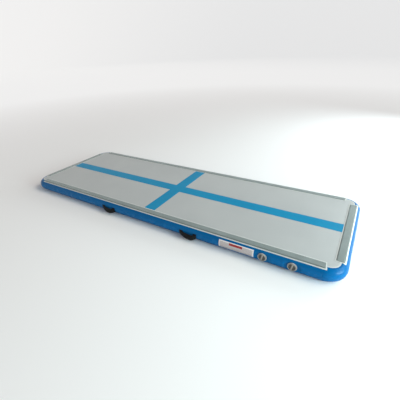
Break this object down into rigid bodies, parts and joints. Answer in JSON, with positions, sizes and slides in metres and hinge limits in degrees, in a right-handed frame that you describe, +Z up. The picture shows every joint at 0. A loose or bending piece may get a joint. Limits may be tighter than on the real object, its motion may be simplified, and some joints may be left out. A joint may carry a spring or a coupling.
{
  "type": "air track mat",
  "caption": "Long inflatable drop-stitch tumbling mat with a flat woven top, rounded side bulge, hook-and-loop edge strips, webbing handles and air valves.",
  "frame": {"origin": "centre of the underside, on the floor", "axes": "+X along the mat, +Y across it away from the valves and label, +Z up"},
  "size_m": [3, 1.0648, 0.1025],
  "materials": {
    "grey_skin": "woven PVC laminate, satin",
    "drop_stitch": "raw polyester drop-stitch cloth and threads",
    "blue_band": "PVC-coated fabric, semi-gloss",
    "white_base": "PVC backing strip",
    "hook_strip": "nylon hook and loop",
    "blue_stripe": "PVC tape, semi-gloss",
    "label": "printed vinyl",
    "label_red": "printed vinyl",
    "webbing": "woven polyester webbing",
    "spring_steel": "drawn spring wire",
    "rubber": "moulded rubber",
    "tether": "moulded soft plastic",
    "valve_plastic": "moulded nylon"
  },
  "bodies": {
    "mat": {"base_strip_back": "white_base", "base_strip_front": "white_base", "base_strip_left": "white_base", "base_strip_right": "white_base", "bottom_skin": "grey_skin", "centre_stripe": "blue_stripe", "cross_stripe_back": "blue_stripe", "cross_stripe_front": "blue_stripe", "drop_threads": "drop_stitch", "handle_tabs_back_left": "webbing", "handle_tabs_back_right": "webbing", "handle_tabs_front_left": "webbing", "handle_tabs_front_right": "webbing", "hook_strip_back": "hook_strip", "hook_strip_front": "hook_strip", "hook_strip_left": "hook_strip", "hook_strip_right": "hook_strip", "label_block": "label_red", "label_patch": "label", "lower_base_cloth": "drop_stitch", "lower_seam_tape": "blue_band", "side_band_back": "blue_band", "side_band_front": "blue_band", "side_band_left": "blue_band", "side_band_right": "blue_band", "top_skin": "grey_skin", "upper_base_cloth": "drop_stitch", "upper_seam_tape": "blue_band", "valve_1_body": "valve_plastic", "valve_1_gasket": "rubber", "valve_1_nut": "valve_plastic", "valve_1_seat": "blue_band", "valve_1_spring": "spring_steel", "valve_1_tether": "tether", "valve_2_body": "valve_plastic", "valve_2_gasket": "rubber", "valve_2_nut": "valve_plastic", "valve_2_seat": "blue_band", "valve_2_spring": "spring_steel", "valve_2_tether": "tether"},
    "handle_front_left": {"handle_front_left": "webbing"},
    "handle_front_right": {"handle_front_right": "webbing"},
    "handle_back_left": {"handle_back_left": "webbing"},
    "handle_back_right": {"handle_back_right": "webbing"},
    "valve_1_eye": {"valve_1_eye": "tether"},
    "valve_1_cap": {"valve_1_cap": "valve_plastic", "valve_1_cap_seal": "rubber"},
    "valve_1_stem": {"valve_1_stem": "valve_plastic", "valve_1_stem_seal": "rubber"},
    "valve_2_eye": {"valve_2_eye": "tether"},
    "valve_2_cap": {"valve_2_cap": "valve_plastic", "valve_2_cap_seal": "rubber"},
    "valve_2_stem": {"valve_2_stem": "valve_plastic", "valve_2_stem_seal": "rubber"}
  },
  "joints": [
    {"name": "handle_front_left_lift", "type": "hinge", "parent": "mat", "child": "handle_front_left", "pos_m": [-0.3995, -0.5006, 0.063], "axis": [-1, 0, 0], "range_deg": [0, 80]},
    {"name": "handle_front_right_lift", "type": "hinge", "parent": "mat", "child": "handle_front_right", "pos_m": [0.4315, -0.5006, 0.063], "axis": [-1, 0, 0], "range_deg": [0, 80]},
    {"name": "handle_back_left_lift", "type": "hinge", "parent": "mat", "child": "handle_back_left", "pos_m": [-0.3995, 0.5006, 0.063], "axis": [1, 0, 0], "range_deg": [0, 80]},
    {"name": "handle_back_right_lift", "type": "hinge", "parent": "mat", "child": "handle_back_right", "pos_m": [0.4315, 0.5006, 0.063], "axis": [1, 0, 0], "range_deg": [0, 80]},
    {"name": "valve_1_cap_pull", "type": "slide", "parent": "mat", "child": "valve_1_eye", "axis": [0, -1, 0], "range_m": [0, 0.03]},
    {"name": "valve_1_cap_turn", "type": "hinge", "parent": "valve_1_eye", "child": "valve_1_cap", "pos_m": [1.004, -0.5, 0.05], "axis": [0, 1, 0], "range_deg": [0, 90]},
    {"name": "valve_1_stem_push", "type": "slide", "parent": "mat", "child": "valve_1_stem", "axis": [0, 1, 0], "range_m": [0, 0.006], "stiffness_N_per_m": 400, "springref_m": -0.004, "deforming": ["valve_1_spring"]},
    {"name": "valve_2_cap_pull", "type": "slide", "parent": "mat", "child": "valve_2_eye", "axis": [0, -1, 0], "range_m": [0, 0.03]},
    {"name": "valve_2_cap_turn", "type": "hinge", "parent": "valve_2_eye", "child": "valve_2_cap", "pos_m": [1.197, -0.5, 0.05], "axis": [0, 1, 0], "range_deg": [0, 90]},
    {"name": "valve_2_stem_push", "type": "slide", "parent": "mat", "child": "valve_2_stem", "axis": [0, 1, 0], "range_m": [0, 0.006], "stiffness_N_per_m": 400, "springref_m": -0.004, "deforming": ["valve_2_spring"]}
  ]
}
